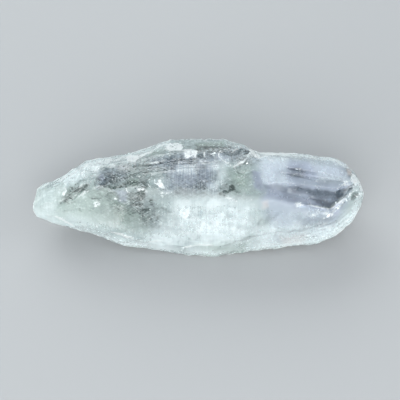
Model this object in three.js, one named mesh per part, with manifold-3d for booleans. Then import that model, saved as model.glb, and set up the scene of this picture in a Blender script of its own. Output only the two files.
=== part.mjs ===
// A natural prasiolite crystal: one long green-quartz shard, lying on the flat sole of its prism.
//
// It is drawn with its broad side up: x runs along the length from the blunt tip to the root,
// v across the broad side, and w through the thickness. Nine long edges run from end to end, and
// each keeps its own few corners. The crystal's faces are stretched between neighbouring edges.
// Growth ledges, grooves, fractures, pits and chips are then cut into the faces, and the whole
// is rolled about its length until the sole is level.
import * as THREE from "three";
import { ConvexGeometry } from "three/addons/geometries/ConvexGeometry.js";
import { mergeVertices } from "three/addons/utils/BufferGeometryUtils.js";
import Module from "manifold-3d";

// Driving dimensions, in millimetres and degrees
const LENGTH = 82.4; // tip to root
const BREADTH = 29.2; // across the broad side
const THICKNESS = 22.6; // crest to keel, before the sole is levelled
const ROLL = 30; // from broad side up to resting on the sole
const SOLE_BELOW_AXIS = 9.3; // the level sole, below the axis that the crystal is rolled about
const LEDGE_DROP = 0.34; // height of one growth ledge
const GROOVE_DEPTH = 2.3; // of the re-entrant groove near the root
const CHIP_DEPTH = 0.34; // of a middling chip on an edge
const PIT_RADIUS = 0.42; // of a middling etch pit

// The quartz, as the plain solid shows it
const QUARTZ_COLOUR = 0xc4d6d2;
const QUARTZ_ROUGHNESS = 0.22;

// The shape of a chip, each from least to most: its sizes are against its depth, its leans in radians
const CHIP_SIDES = 5;
const CHIP_HEIGHT = 6;
const CHIP_SPREAD = [0.4, 1.6]; // its depth, against a middling one
const CHIP_FLOOR = [1.2, 3.2]; // half width of its floor
const CHIP_SPLAY = [1.2, 2.2]; // how far its sides lean out over its height
const CHIP_STRETCH = [1.0, 2.4]; // along the edge
const CHIP_LEAN = [-0.175, 0.175]; // along the edge
const CHIP_TWIST = [-0.35, 0.35]; // about the edge

// The shape of a shell-shaped fracture: its sides at shares of its rim and depth
const SHELL_SPOKES = 13;
const SHELL_REACH = [0.82, 1.12];
const SHELL_SHUFFLE = [0, 0.7]; // how far a spoke strays, against the gap between two
const SHELL_SIDES = [[0.4, -0.84], [0.75, -0.44], [1.0, 0.0], [1.3, 1.0]];

// The shape of an etch pit: its radius against a middling one, and its stretch each way
const PIT_SPREAD = [0.5, 1.5];
const PIT_LONG = [1.0, 2.0];
const PIT_BROAD = [0.7, 1.2];
const PIT_FLAT = 0.7;

// The sizes that the corners below are drawn at
const DRAWN = new THREE.Vector3(82.4, 29.2, 22.6);
const SCALE = new THREE.Vector3(LENGTH, BREADTH, THICKNESS).divide(DRAWN);

const ALONG = new THREE.Vector3(1, 0, 0); // the crystal's length
const ACROSS = new THREE.Vector3(0, 1, 0);
const OUT = new THREE.Vector3(0, 0, 1); // out of the broad side
const CLEAR = 8; // how far a cutting body stands clear of the face that it cuts
const SKIM = 0.02; // how far above a face a cut that fades out ends
const TAPER = 0.15; // width of a ledge at its ends, against its full width

// The long edges in order round the crystal, each corner as [x, v, w]
const EDGES = {
  crest: [
    [-41.1, -2.5, 0.9], [-38.1, -1.4, 3.6], [-33.1, -0.6, 6.0], [-28.4, 1.9, 8.0], [-15.9, 2.4, 10.4],
    [0.4, 0.8, 11.2], [10.4, 0.2, 11.0], [22.9, -0.6, 10.2], [32.4, -2.6, 7.9], [36.1, -1.1, 6.2],
    [38.9, 0.1, 4.0], [41.3, 0.9, 0.6],
  ],
  shoulder: [
    [-41.1, -2.0, 1.1], [-40.1, 0.2, 2.1], [-38.1, 1.1, 3.4], [-33.1, 1.9, 5.9], [-28.4, 4.6, 7.6],
    [-15.9, 5.6, 9.7], [0.4, 4.6, 10.3], [22.9, 2.9, 9.6], [34.6, 2.4, 7.1], [38.9, 3.7, 3.8],
    [41.3, 1.2, 0.6],
  ],
  upperRidge: [
    [-41.1, -1.8, 0.8], [-40.1, 1.4, 1.6], [-34.1, 3.8, 4.2], [-27.6, 7.4, 6.2], [-15.9, 9.1, 7.3],
    [-7.6, 10.9, 7.2], [7.9, 12.1, 6.6], [13.4, 10.6, 7.0], [25.4, 9.4, 6.6], [36.6, 6.9, 4.0],
    [39.4, 4.3, 2.4], [41.3, 1.4, 0.4],
  ],
  topEdge: [
    [-41.1, -1.6, 0.2], [-40.1, 2.4, 0.3], [-38.1, 4.0, 0.4], [-34.1, 5.6, 0.6], [-27.6, 9.7, 0.8],
    [-19.6, 11.1, 0.4], [-14.6, 12.2, 0.2], [-7.6, 14.6, 0.0], [0.4, 14.9, -0.2], [6.4, 14.8, -0.2],
    [11.6, 13.3, 0.0], [15.4, 11.6, 0.4], [25.4, 11.2, 0.4], [34.1, 10.1, 0.0], [36.7, 8.7, 0.0],
    [39.1, 6.4, 0.0], [40.4, 4.0, 0.0], [41.3, 1.5, 0.0],
  ],
  backRidge: [
    [-41.1, -1.7, -0.5], [-40.1, 1.7, -1.6], [-34.1, 3.6, -4.2], [-27.6, 6.6, -6.0], [-19.6, 8.0, -6.8],
    [-10.9, 10.2, -7.0], [0.4, 11.2, -6.6], [9.1, 10.6, -6.8], [15.9, 8.8, -7.2], [25.4, 8.6, -6.8],
    [37.4, 5.8, -3.8], [41.3, 1.3, -0.4],
  ],
  keel: [
    [-41.1, -2.4, -0.9], [-38.1, -0.2, -4.2], [-27.6, 1.6, -8.8], [-8.4, 2.4, -11.2], [4.1, 2.2, -11.4],
    [25.4, 1.4, -10.0], [32.9, 1.6, -7.8], [39.9, 1.4, -2.6], [41.3, 1.0, -0.5],
  ],
  soleRidge: [
    [-41.1, -3.0, -0.6], [-38.1, -3.9, -3.0], [-27.6, -6.0, -6.2], [-8.4, -8.4, -7.8], [4.9, -8.8, -7.8],
    [25.4, -6.8, -6.8], [37.4, -3.0, -3.4], [41.3, 0.7, -0.4],
  ],
  bottomEdge: [
    [-41.1, -3.3, 0.0], [-40.2, -4.7, -0.2], [-37.1, -6.0, -0.8], [-25.4, -9.3, -1.6], [-18.4, -12.0, -2.0],
    [-9.6, -13.1, -2.3], [-2.1, -14.4, -2.4], [4.9, -14.8, -2.4], [9.1, -13.9, -2.3], [23.4, -12.3, -1.8],
    [29.9, -11.4, -1.4], [34.6, -9.4, -1.0], [38.4, -5.9, -0.6], [40.6, -1.9, -0.3], [41.3, 0.6, -0.1],
  ],
  lowerRidge: [
    [-41.1, -2.9, 0.5], [-39.6, -3.9, 1.2], [-37.1, -4.6, 1.9], [-25.4, -7.4, 3.6], [-18.4, -9.6, 3.8],
    [-2.1, -12.1, 2.8], [5.1, -11.8, 3.4], [9.1, -10.1, 4.8], [15.9, -8.4, 5.6], [23.6, -7.6, 5.4],
    [30.9, -5.6, 4.6], [36.1, -2.9, 3.4], [38.9, -1.1, 2.1], [41.3, 0.8, 0.3],
  ],
};

const wasm = await Module();
wasm.setup();

// A closed three.js geometry as a solid that can be joined and cut
function solid(geometry) {
  const bare = geometry.clone().deleteAttribute("normal").deleteAttribute("uv");
  const merged = mergeVertices(bare, 1e-4);
  return new wasm.Manifold(
    new wasm.Mesh({
      numProp: 3,
      vertProperties: new Float32Array(merged.attributes.position.array),
      triVerts: new Uint32Array(merged.index.array),
    }),
  );
}

// A solid as a three.js geometry
function geometryOf(made) {
  const mesh = made.getMesh();
  const geometry = new THREE.BufferGeometry();
  geometry.setAttribute("position", new THREE.BufferAttribute(mesh.vertProperties, 3));
  geometry.setIndex(new THREE.BufferAttribute(mesh.triVerts, 1));
  return geometry;
}

// The same stream of numbers from 0 to 1 on every run
function randomFrom(seed) {
  let state = seed;
  return () => {
    state = (Math.imul(state, 1664525) + 1013904223) >>> 0;
    return state / 2 ** 32;
  };
}

function between([least, most], random) {
  return THREE.MathUtils.lerp(least, most, random());
}

// A drawn corner, at the crystal's size
function drawn(corner) {
  return new THREE.Vector3(...corner).multiply(SCALE);
}

// ---- The faces between the long edges ----

// Triangles between two neighbouring edges, stepping along whichever has the nearer next corner
function strip(from, to, points) {
  const triangles = [];
  let [i, j] = [0, 0];
  while (i + 1 < from.length || j + 1 < to.length) {
    const nextFrom = i + 1 < from.length ? points[from[i + 1]].x : Infinity;
    const nextTo = j + 1 < to.length ? points[to[j + 1]].x : Infinity;
    if (nextFrom < nextTo) {
      triangles.push(from[i], from[i + 1], to[j]);
      i += 1;
    } else {
      triangles.push(from[i], to[j + 1], to[j]);
      j += 1;
    }
  }
  return triangles;
}

// A fan that closes one end
function cap(corners, points, forwards) {
  const middle = corners.reduce((sum, c) => sum.add(points[c]), new THREE.Vector3());
  const centre = points.push(middle.divideScalar(corners.length)) - 1;
  const ordered = forwards ? corners.toReversed() : corners;
  return ordered.flatMap((c, i) => [centre, c, ordered[(i + 1) % ordered.length]]);
}

function bodyGeometry() {
  const points = [];
  const rows = Object.values(EDGES).map((corners) =>
    corners.map((c) => points.push(drawn(c)) - 1),
  );
  const triangles = rows.flatMap((row, i) => strip(row, rows[(i + 1) % rows.length], points));
  triangles.push(...cap(rows.map((row) => row[0]), points, false));
  triangles.push(...cap(rows.map((row) => row.at(-1)), points, true));
  const geometry = new THREE.BufferGeometry().setFromPoints(points);
  geometry.setIndex(triangles);
  return geometry;
}

const bare = new THREE.Mesh(bodyGeometry(), new THREE.MeshBasicMaterial());
const ray = new THREE.Raycaster();

// The way out of the face that is turned round the length from the broad side, in degrees
function outOf(turn) {
  return OUT.clone().applyAxisAngle(ALONG, THREE.MathUtils.degToRad(turn));
}

// The point on the bare body at x and so far sideways, seen from that turn, then sunk by depth
function skin(turn, [x, sideways, depth]) {
  const out = outOf(turn);
  const side = ACROSS.clone().applyAxisAngle(ALONG, THREE.MathUtils.degToRad(turn));
  const from = new THREE.Vector3(x, 0, 0).addScaledVector(side, sideways).addScaledVector(out, LENGTH);
  ray.set(from, out.clone().negate());
  return ray.intersectObject(bare)[0].point.addScaledVector(out, -depth);
}

// ---- What is cut into the faces ----

// A hull under the given [x, sideways, depth] points, open outwards
function gouge(turn, points) {
  const under = points.map((p) => skin(turn, p));
  const over = under.map((p) => p.clone().addScaledVector(outOf(turn), CLEAR));
  return solid(new ConvexGeometry([...under, ...over]));
}

// A growth ledge along a line of [x, sideways]: a low wall that fades out at both ends, and
// beyond it a slope back to the face
function ledge(turn, line, width, drop) {
  const last = line.length - 1;
  return line.slice(1).map((end, i) => {
    const start = line[i];
    const [fromDrop, toDrop] = [i === 0 ? 0 : drop, i + 1 === last ? 0 : drop];
    return gouge(turn, [
      [...start, fromDrop],
      [...end, toDrop],
      [end[0], end[1] + width * (toDrop ? 1 : TAPER), -SKIM],
      [start[0], start[1] + width * (fromDrop ? 1 : TAPER), -SKIM],
    ]);
  });
}

// Parallel growth ledges, each one spacing on from the last
function ledges(turn, line, count, step, width, drop) {
  return Array.from({ length: count }, (_, k) => {
    const moved = line.map(([x, s], i) => [x + step[i][0] * k, s + step[i][1] * k]);
    return ledge(turn, moved, width, drop);
  }).flat();
}

// A shell-shaped fracture: a shallow bowl of the given rim and depth with an uneven outline
function shell(turn, at, rim, depth, squeeze, seed) {
  const random = randomFrom(seed);
  const out = outOf(turn);
  const side = ACROSS.clone().applyAxisAngle(ALONG, THREE.MathUtils.degToRad(turn));
  const place = skin(turn, [...at, 0]);
  const points = [place.clone().addScaledVector(out, -depth)];
  const [widest] = SHELL_SIDES.at(-1);
  for (let i = 0; i < SHELL_SPOKES; i++) {
    const angle = ((i + between(SHELL_SHUFFLE, random)) / SHELL_SPOKES) * 2 * Math.PI;
    const reach = rim * between(SHELL_REACH, random);
    for (const [share, rise] of [...SHELL_SIDES, [widest, CLEAR / depth]]) {
      const p = place.clone().addScaledVector(ALONG, reach * share * Math.cos(angle));
      p.addScaledVector(side, squeeze * reach * share * Math.sin(angle));
      points.push(p.addScaledVector(out, rise * depth));
    }
  }
  return solid(new ConvexGeometry(points));
}

// Small angular pits scattered over a patch of face
function pits(turn, xRange, sideRange, count, seed) {
  const random = randomFrom(seed);
  return Array.from({ length: count }, () => {
    const pit = new THREE.OctahedronGeometry(PIT_RADIUS * between(PIT_SPREAD, random), 0);
    pit.rotateX(random() * Math.PI);
    pit.rotateZ(random() * Math.PI);
    pit.scale(between(PIT_LONG, random), between(PIT_BROAD, random), PIT_FLAT);
    const place = skin(turn, [between(xRange, random), between(sideRange, random), 0]);
    pit.translate(place.x, place.y, place.z);
    return solid(pit);
  });
}

// Where an edge passes x: its axes are along the edge, outwards, and across both
function edgeFrame(corners, x) {
  const after = Math.max(1, corners.findIndex((c) => c[0] >= x));
  const [from, to] = [corners[after - 1], corners[after]].map(drawn);
  const place = from.clone().lerp(to, (x - from.x) / (to.x - from.x));
  const along = to.clone().sub(from).normalize();
  const outward = new THREE.Vector3(0, place.y, place.z).projectOnPlane(along).normalize();
  return new THREE.Matrix4().makeBasis(along, outward, along.clone().cross(outward)).setPosition(place);
}

// One chip on an edge: a flat-bottomed scallop with splayed sides
function chip(corners, x, depth, random) {
  const floor = depth * between(CHIP_FLOOR, random);
  const height = CHIP_HEIGHT * depth;
  const splay = floor + height * between(CHIP_SPLAY, random);
  const scoop = new THREE.CylinderGeometry(splay, floor, height, CHIP_SIDES);
  scoop.rotateY(random() * Math.PI);
  scoop.scale(between(CHIP_STRETCH, random), 1, 1);
  scoop.translate(0, height / 2 - depth, 0);
  scoop.rotateZ(between(CHIP_LEAN, random));
  scoop.rotateX(between(CHIP_TWIST, random));
  scoop.applyMatrix4(edgeFrame(corners, x));
  return solid(scoop);
}

// Chips of mixed sizes all along an edge, seeded so that they repeat
function chips(corners, from, to, count, size, seed) {
  const random = randomFrom(seed);
  return Array.from({ length: count }, (_, i) => {
    const x = THREE.MathUtils.lerp(from, to, (i + random()) / count);
    const spread = THREE.MathUtils.lerp(...CHIP_SPREAD, random() ** 2);
    return chip(corners, x, size * CHIP_DEPTH * spread, random);
  });
}

// Nicks at given places along an edge
function nicks(corners, places, depth, seed) {
  const random = randomFrom(seed);
  return places.map((x) => chip(corners, x, depth, random));
}

// The groove between the shoulder and the crest near the root, and the broken rim beside it
function rootGroove() {
  const deep = GROOVE_DEPTH;
  return [
    gouge(0, [
      [13.6, 3.4, -0.05], [17.8, 4.0, -0.05], [22.8, 3.6, 0.05], [28.3, 2.5, 0.1], [34.0, 2.2, 0.15],
      [14.6, 0.8, 0.0], [22.8, -0.2, 0.25 * deep], [27.8, -0.9, 0.6 * deep], [30.3, -1.8, 0.85 * deep],
      [32.2, -2.5, 0.9 * deep], [33.2, -1.4, 0.9 * deep],
    ]),
    gouge(0, [
      [31.6, -1.6, 0.9 * deep], [32.2, -2.5, 0.9 * deep], [34.8, -0.4, 0.8 * deep], [36.5, 0.9, 0.5 * deep],
      [38.2, 3.0, 0.05], [36.5, 3.5, 0.0], [34.0, 2.3, 0.15],
    ]),
  ];
}

// Where the thicker left half breaks down to the thinner upper right
function upperStep() {
  return [
    gouge(0, [
      [15.4, 10.4, 0.3], [11.6, 9.0, 0.8], [8.6, 7.6, 0.7], [9.8, 6.0, 0.2], [16.0, 6.6, 0], [20.0, 8.4, 0],
    ]),
    gouge(0, [[7.6, 11.0, 0.1], [10.6, 12.4, 0.7], [12.6, 11.4, 0.9], [11.6, 9.6, 0.8], [8.6, 9.0, 0.2]]),
    gouge(0, [[9.0, 10.4, 0.5], [10.6, 10.8, 1.1], [11.4, 9.4, 1.0], [9.6, 8.6, 0.6]]),
    gouge(0, [[13.2, 12.2, 0.1], [15.4, 11.2, 0.8], [17.2, 10.6, 0.1], [14.8, 9.8, 0.6]]),
    ...pits(0, [7.6, 15.6], [8.2, 12.2], 12, 7),
  ];
}

// The angular fractures and pitted patches of the tip half
function tipFractures() {
  return [
    gouge(0, [
      [-24.6, 4.2, 0.1], [-22.6, 6.4, 0.9], [-17.4, 5.6, 1.1], [-16.8, 3.6, 0.2], [-21.8, 2.4, 0.0],
    ]),
    gouge(0, [[-26.2, 5.6, 0.1], [-24.2, 7.2, 0.6], [-21.8, 6.6, 0.8], [-22.4, 5.0, 0.2]]),
    gouge(0, [[-14.8, 4.9, 0.7], [-12.2, 4.7, 0.7], [-11.8, 3.0, 0.5], [-14.4, 2.8, 0.1]]),
    gouge(0, [
      [-17.8, 1.2, 0.1], [-15.4, 2.4, 0.9], [-11.6, 1.4, 0.7], [-11.2, -1.6, 0.1], [-15.0, -3.0, 0.2],
    ]),
    gouge(0, [
      [-33.8, -1.2, 0.3], [-31.2, 1.2, 0.4], [-27.0, 3.6, 0.3], [-28.0, 1.4, 0.05], [-31.6, -1.2, 0.05],
    ]),
    ...pits(0, [-19, -10], [-4, 3.5], 16, 3),
    ...pits(0, [-34, -20], [-4, 5], 14, 17),
    shell(24, [-26.4, 1.2], 6.4, 0.22, 0.75, 9),
  ];
}

// Growth ledges on the broad side
function frontLedges() {
  return [
    ...ledges(0, [[-27.0, 6.2], [-15.0, 7.9], [-4.0, 9.6], [6.6, 10.2]], 3,
      [[2.4, -0.5], [0.6, -0.75], [0.2, -1.0], [-0.4, -1.15]], -1.0, LEDGE_DROP),
    ...ledges(0, [[24.6, -10.0], [33.0, -8.0], [37.6, -4.4], [39.6, -1.4]], 4,
      [[1.0, 0.75], [0.1, 0.95], [-0.5, 0.75], [-0.5, 0.4]], -0.9, LEDGE_DROP * 0.8),
    ...ledges(0, [[20.0, 7.8], [30.0, 6.4], [36.0, 4.6]], 2,
      [[-1.0, -1.4], [-0.4, -1.2], [0.3, -0.5]], -1.1, LEDGE_DROP * 0.7),
  ];
}

// The faces that turn away from the broad side: ledges, fractures and etch pits of their own
function backWear() {
  return [
    ...ledges(-125, [[-30, 1.2], [-8, 2.6], [12, 2.2], [30, 0.6]], 3,
      [[3, 1.0], [2, 1.1], [-2, 1.1], [-3, 0.9]], 1.5, LEDGE_DROP),
    ...ledges(165, [[-22, 2.2], [-2, 3.2], [22, 2.0]], 2,
      [[3, -1.6], [1, -1.7], [-3, -1.5]], -1.8, LEDGE_DROP),
    gouge(-120, [[16, 3.4, 0.1], [20, 5.2, 1.2], [27, 4.2, 1.0], [28, 0.6, 0.1], [19, 0.4, 0.0]]),
    gouge(-150, [[-33, 1.0, 0.1], [-27, 3.4, 1.1], [-20, 1.6, 0.7], [-22, -1.8, 0.05], [-30, -1.4, 0.0]]),
    shell(-135, [1, -3.0], 6.0, 0.9, 0.6, 13),
    shell(-140, [7.5, -1.6], 4.2, 0.9, 0.7, 19),
    shell(-128, [-19, 1.8], 4.6, 0.7, 0.6, 47),
    ...pits(-120, [-28, 30], [-4, 4], 22, 29),
    ...pits(180, [-24, 26], [-3, 4], 12, 31),
    ...pits(-75, [-26, 32], [-3, 3], 14, 43),
  ];
}

function edgeWear() {
  const { crest, shoulder, upperRidge, topEdge, backRidge } = EDGES;
  const { keel, soleRidge, bottomEdge, lowerRidge } = EDGES;
  return [
    ...nicks(topEdge, [-27.4, -23.6, -19.8, 15.8], 0.4, 3),
    ...nicks(bottomEdge, [5.9, 14.1, 17.3, 21.6, 23.3], 0.35, 13),
    ...chips(crest, -38, 20, 12, 1.0, 11),
    ...chips(crest, 21, 40, 16, 1.1, 23),
    ...chips(shoulder, -34, 14, 8, 0.8, 5),
    ...chips(upperRidge, -36, 38, 18, 1.0, 37),
    ...chips(topEdge, -38, 39, 26, 0.7, 41),
    ...chips(backRidge, -36, 38, 16, 1.5, 53),
    ...chips(keel, -36, 38, 12, 1.6, 61),
    ...chips(soleRidge, -38, 38, 8, 1.4, 67),
    ...chips(bottomEdge, -38, 40, 26, 0.8, 71),
    ...chips(lowerRidge, -38, 38, 16, 0.9, 83),
  ];
}

// ---- The crystal ----

function crystal() {
  const cuts = [rootGroove(), upperStep(), tipFractures(), frontLedges(), backWear(), edgeWear()].flat();
  const shaped = cuts.reduce((made, cut) => made.subtract(cut), solid(bare.geometry));
  const lying = solid(geometryOf(shaped).rotateX(THREE.MathUtils.degToRad(ROLL)));
  const ground = new THREE.BoxGeometry(2 * LENGTH, 4 * BREADTH, BREADTH);
  ground.translate(0, 0, -SOLE_BELOW_AXIS - BREADTH / 2);
  return geometryOf(lying.subtract(solid(ground)));
}

const quartz = new THREE.MeshStandardMaterial({
  color: QUARTZ_COLOUR,
  roughness: QUARTZ_ROUGHNESS,
  metalness: 0,
  flatShading: true,
});
const geometry = crystal();

// The origin is under the middle of the crystal, on the surface that it lies on
geometry.computeBoundingBox();
const { min, max } = geometry.boundingBox;
geometry.translate(-(min.x + max.x) / 2, -(min.y + max.y) / 2, -min.z);

const mesh = new THREE.Mesh(geometry, quartz);
mesh.name = "crystal";
const part = new THREE.Group();
part.add(mesh);

export default part;
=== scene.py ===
"""A natural prasiolite crystal, lying on its sole: its looks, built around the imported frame."""

import itertools
import math

import bpy
import numpy as np
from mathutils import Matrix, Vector
from mathutils.bvhtree import BVHTree


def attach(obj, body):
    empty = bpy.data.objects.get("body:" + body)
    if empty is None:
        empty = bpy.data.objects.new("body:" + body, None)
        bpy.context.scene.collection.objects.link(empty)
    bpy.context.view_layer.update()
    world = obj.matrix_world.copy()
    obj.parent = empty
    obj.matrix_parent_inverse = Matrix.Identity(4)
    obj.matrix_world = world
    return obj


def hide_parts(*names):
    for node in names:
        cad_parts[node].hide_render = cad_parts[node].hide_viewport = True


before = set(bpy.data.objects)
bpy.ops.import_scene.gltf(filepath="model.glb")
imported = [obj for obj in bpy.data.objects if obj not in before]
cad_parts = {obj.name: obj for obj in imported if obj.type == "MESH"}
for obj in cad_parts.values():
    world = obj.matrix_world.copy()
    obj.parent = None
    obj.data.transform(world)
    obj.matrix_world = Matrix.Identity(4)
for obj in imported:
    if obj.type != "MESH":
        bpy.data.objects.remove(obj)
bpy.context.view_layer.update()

MM = 0.001
AXIS = Vector((0.0, -0.844 * MM, 9.3 * MM))  # the middle of the crystal's long axis
ROLL = math.radians(30)  # how far the broad side leans back from facing straight up


def place(x, v, w):
    """A point x along the crystal, v across its broad side and w out of it, all in millimetres."""
    y = v * math.cos(ROLL) - w * math.sin(ROLL)
    z = v * math.sin(ROLL) + w * math.cos(ROLL)
    return AXIS + Vector((x, y, z)) * MM


OUTWARD = (place(0, 0, 1) - place(0, 0, 0)).normalized()  # the way that the broad side faces


def crystal_coordinates(points):
    """Points of the frame as x, v and w, in millimetres."""
    x, y, z = ((points - np.array(AXIS)) / MM).T
    v = y * math.cos(ROLL) + z * math.sin(ROLL)
    w = z * math.cos(ROLL) - y * math.sin(ROLL)
    return np.stack([x, v, w], 1)


def vertices_of(mesh, what="co"):
    """The places of a mesh's vertices, or their normals."""
    values = np.empty(len(mesh.vertices) * 3)
    mesh.vertices.foreach_get(what, values)
    return values.reshape(-1, 3)


def deselect_all():
    for obj in bpy.context.selected_objects:
        obj.select_set(False)


def make_active(obj):
    deselect_all()
    obj.select_set(True)
    bpy.context.view_layer.objects.active = obj


def new_object(name, data):
    made = bpy.data.objects.new(name, data)
    bpy.context.scene.collection.objects.link(made)
    return made


def new_material(name):
    """A material, and its tree of nodes and its shader."""
    material = bpy.data.materials.new(name)
    material.use_nodes = True
    return material, material.node_tree, material.node_tree.nodes["Principled BSDF"]


# ---- Camera, floor and light ----

VIEW_MIDDLE = (0.374, -0.125, 0)  # what the camera looks at, as x, v and w
FRAME_WIDTH = 99.7 * MM  # what the camera sees across, at the crystal
LENS = 120.0
SENSOR = 36.0
NEAREST_SEEN = 10 * MM

WHITE = (1.0, 1.0, 1.0)
STUDIO_COLOUR = (0.84, 0.90, 0.96, 1)
STUDIO_STRENGTH = 0.70

FLOOR_SIZE = 12.0
FLOOR_GREY = (0.30, 0.31, 0.315, 1)
FLOOR_ROUGHNESS = 0.7


def aim(obj, target):
    obj.rotation_euler = (Vector(target) - obj.location).to_track_quat("-Z", "Y").to_euler()


def make_camera():
    camera = new_object("camera", bpy.data.cameras.new("camera"))
    camera.data.lens = LENS
    camera.data.sensor_width = SENSOR
    camera.data.clip_start = NEAREST_SEEN
    target = place(*VIEW_MIDDLE)
    camera.location = target + OUTWARD * FRAME_WIDTH * LENS / SENSOR
    aim(camera, target)
    bpy.context.scene.camera = camera


def softbox(name, location, size, power, colour):
    """A soft light, turned to the crystal: its place and size in metres, its power in watts."""
    data = bpy.data.lights.new(name, "AREA")
    data.shape = "RECTANGLE"
    data.size, data.size_y = size
    data.energy = power
    data.color = colour
    lamp = new_object(name, data)
    lamp.location = location
    aim(lamp, AXIS)


def make_lights():
    softbox("front_softbox", (-0.06, -0.50, 0.40), (0.60, 0.42), 3.5, WHITE)
    softbox("low_left_softbox", (-0.50, -0.36, 0.12), (0.60, 0.30), 3.0, WHITE)
    softbox("low_right_softbox", (0.50, -0.36, 0.12), (0.60, 0.30), 1.9, WHITE)
    softbox("top_softbox", (-0.34, 0.42, 0.42), (0.40, 0.30), 1.1, (0.94, 0.98, 1.0))
    softbox("rim_softbox", (-0.15, 0.52, 0.36), (0.70, 0.40), 2.8, (0.97, 1.0, 1.0))
    softbox("side_softbox", (0.52, 0.02, 0.28), (0.25, 0.25), 1.0, (1.0, 0.98, 1.0))


def make_studio():
    world = bpy.data.worlds.new("studio")
    world.use_nodes = True
    background = world.node_tree.nodes["Background"]
    background.inputs["Color"].default_value = STUDIO_COLOUR
    background.inputs["Strength"].default_value = STUDIO_STRENGTH
    bpy.context.scene.world = world


def make_floor():
    bpy.ops.mesh.primitive_plane_add(size=FLOOR_SIZE, location=(0, 0, 0))
    floor = bpy.context.object
    floor.name = "floor"
    material, _, shader = new_material("pale_floor")
    shader.inputs["Base Color"].default_value = FLOOR_GREY
    shader.inputs["Roughness"].default_value = FLOOR_ROUGHNESS
    floor.data.materials.append(material)


# ---- Zones of the crystal ----

# The zones are drawn on the broad side, on a grid of squares counted right and down from a corner.
GRID = 0.2492  # the side of one square, in millimetres
GRID_MIDDLE = (198.5, 199.5)  # where the crystal's axis and the middle of its length come


def patch(corners, soft, much):
    """A patch with the given corners, the softness of its border in squares, and its strength."""
    return corners + corners[:1], None, soft, much


def line(corners, wide, soft, much):
    """A line through the given corners, its half width and softness in squares, and its strength."""
    return corners, wide, soft, much


# Smoky windows and dark fractures
DARK_ARC = [
    patch([(64, 202), (67, 197), (71, 194), (70, 190), (74, 187), (82, 185), (90, 186), (88, 190), (80, 193),
           (76, 197), (70, 202)], 3.5, 0.38),
    patch([(65, 201), (68, 196), (72, 196), (71, 200)], 2.0, 0.35),
    patch([(71, 188), (78, 186), (80, 189), (75, 193), (72, 192)], 2.0, 0.35),
    patch([(82, 187), (90, 186), (87, 190), (81, 191)], 2.0, 0.30),
]
ROUND_THE_ARC = [
    patch([(68, 190), (76, 186), (92, 184.5), (92, 190), (80, 192), (72, 198), (66, 202)], 3.0, 0.28),
    patch([(88, 190), (104, 188), (112, 192), (104, 199), (94, 200), (88, 196)], 3.0, 0.16),
    line([(78, 184), (83, 181), (88, 180.5)], 0.8, 0.6, 0.50),
    line([(93, 199.5), (98, 198.5), (104, 196)], 0.7, 0.5, 0.50),
    line([(70, 203), (78, 202)], 0.6, 0.5, 0.40),
    line([(97, 182), (98, 185)], 0.8, 0.5, 0.40),
]
FRACTURE_CLUSTER = [
    patch([(101, 175), (109, 174), (110, 182), (112, 188), (101, 189), (99, 183)], 3.0, 0.36),
    patch([(110, 174), (119, 176), (120, 182), (112, 183)], 2.5, 0.50),
    patch([(108.5, 173.8), (116, 174.8), (123, 176.8), (129, 178.8), (122, 179.2), (114, 177.8)], 0.8, 0.95),
    patch([(114, 178), (120, 177), (121, 181), (115, 182)], 1.0, 0.75),
    patch([(120, 177), (127, 179), (126, 181), (120, 181)], 2.0, 0.50),
    patch([(101.5, 186), (107, 184.3), (112.5, 185), (112, 188), (102, 188.7)], 0.9, 0.80),
    patch([(119, 184.5), (127, 184), (127.3, 187.7), (119, 187.5)], 0.9, 0.80),
    patch([(112, 182), (119, 182), (119, 189), (113, 189)], 2.0, 0.42),
    patch([(119, 165), (127.5, 164.5), (128, 176), (124, 177), (119, 174)], 2.5, 0.44),
    patch([(104, 168), (119, 166), (119, 171), (106, 172)], 3.0, 0.14),
    patch([(128, 182), (140, 181.5), (141, 187), (129, 186.5)], 2.0, 0.52),
    patch([(130, 182.5), (135, 182), (135, 184.5), (130, 184.8)], 1.5, 0.45),
    patch([(141, 181), (150, 180.5), (152, 185), (149, 189.5), (143, 188.5)], 2.0, 0.55),
    patch([(128, 170), (150, 172), (152, 180), (128, 179)], 3.0, 0.20),
    patch([(128, 160), (152, 158), (160, 170), (128, 170)], 3.0, 0.30),
    patch([(128, 191), (137, 193), (141, 203), (131, 204), (127, 198)], 4.0, 0.38),
    patch([(134, 196), (139, 192), (142, 199), (139, 202), (134, 201)], 2.5, 0.45),
    patch([(139.5, 191), (147, 190.8), (146.5, 197), (143, 200), (140, 197)], 1.2, 0.80),
    patch([(132, 202), (139, 203), (144, 206), (140, 208), (133, 206)], 2.0, 0.45),
    line([(136, 203), (143, 204.5)], 0.9, 0.5, 0.60),
    line([(133, 209), (139, 210.5)], 0.9, 0.5, 0.40),
]
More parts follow.
